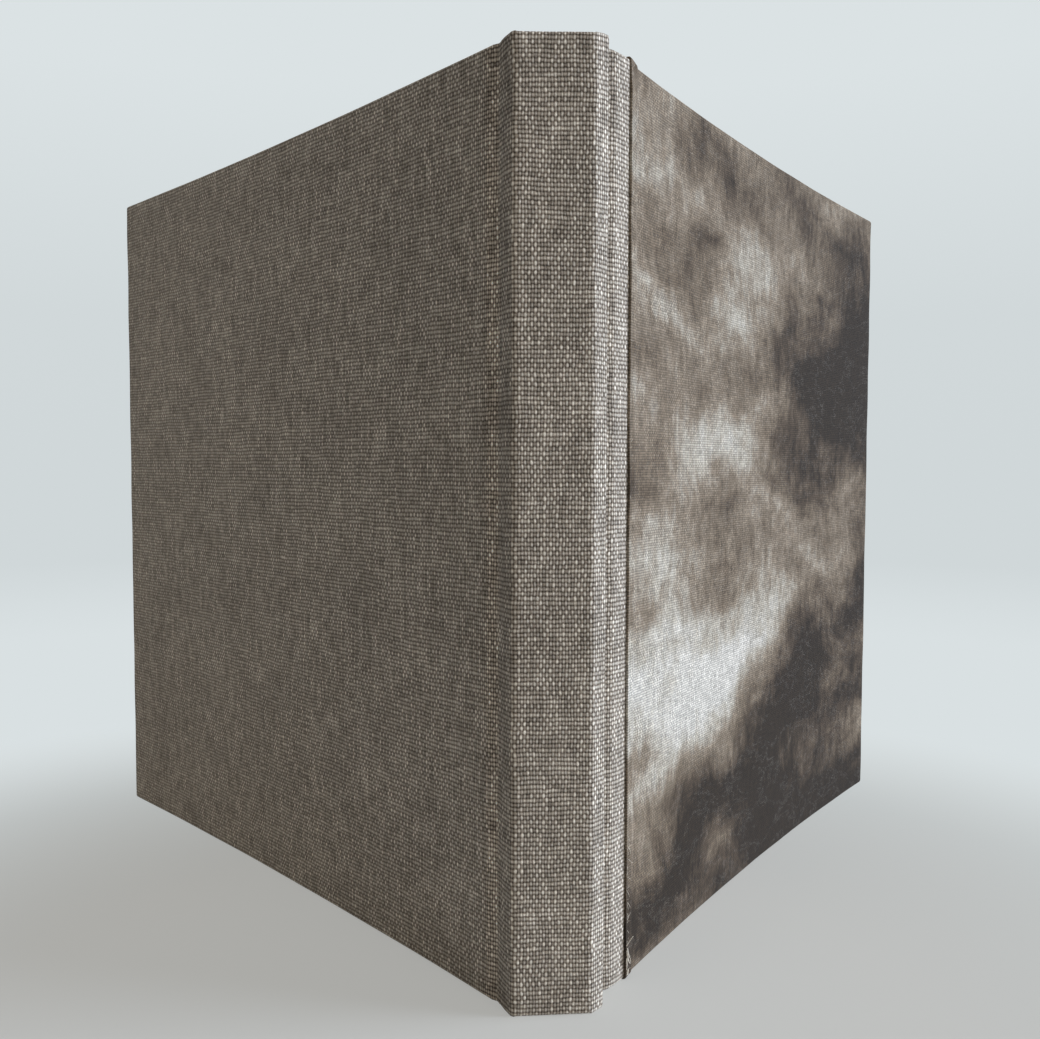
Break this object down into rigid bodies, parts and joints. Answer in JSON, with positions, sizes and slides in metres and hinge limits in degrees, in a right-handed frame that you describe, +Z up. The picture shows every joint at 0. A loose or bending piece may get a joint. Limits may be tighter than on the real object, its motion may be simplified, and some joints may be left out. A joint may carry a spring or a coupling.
{
  "type": "hardcover notebook",
  "caption": "Cloth-bound hardcover notebook standing upright with its covers opened in a V, linen spine and back, printed cloth front, covers hinged at the joint creases.",
  "frame": {"origin": "middle of the spine's foot, on the surface that the book stands on", "axes": "+Z up along the spine, -Y out of the spine's face, +Y from the spine towards the fore-edges, +X towards the front cover"},
  "size_m": [0.2299, 0.1715, 0.18],
  "materials": {
    "linen": "natural linen book cloth, plain weave",
    "printed_cloth": "fine cotton cloth printed in sepia washes",
    "greyboard": "binder's greyboard",
    "pages": "uncoated cream paper, cut edges",
    "endpaper": "uncoated laid endpaper",
    "mull": "open cotton mull",
    "band": "woven cotton band"
  },
  "bodies": {
    "book_block": {"text_block": "pages", "front_flyleaf": "endpaper", "back_flyleaf": "endpaper", "spine_mull": "mull", "spine_lining": "endpaper", "headband": "band", "tailband": "band", "spine_board": "greyboard", "spine_linen": "linen"},
    "front_cover": {"front_board": "greyboard", "front_linen_strip": "linen", "front_printed_cloth": "printed_cloth", "front_mull_flap": "mull", "front_pastedown": "endpaper"},
    "back_cover": {"back_board": "greyboard", "back_linen": "linen", "back_mull_flap": "mull", "back_pastedown": "endpaper"}
  },
  "joints": [
    {"name": "front_cover_hinge", "type": "hinge", "parent": "book_block", "child": "front_cover", "pos_m": [0.00945, 0.0065, 0.09], "axis": [0, 0, -1], "range_deg": [-38, 99]},
    {"name": "back_cover_hinge", "type": "hinge", "parent": "book_block", "child": "back_cover", "pos_m": [-0.0106, 0.00485, 0.09], "axis": [0, 0, 1], "range_deg": [-37.2, 100]}
  ]
}
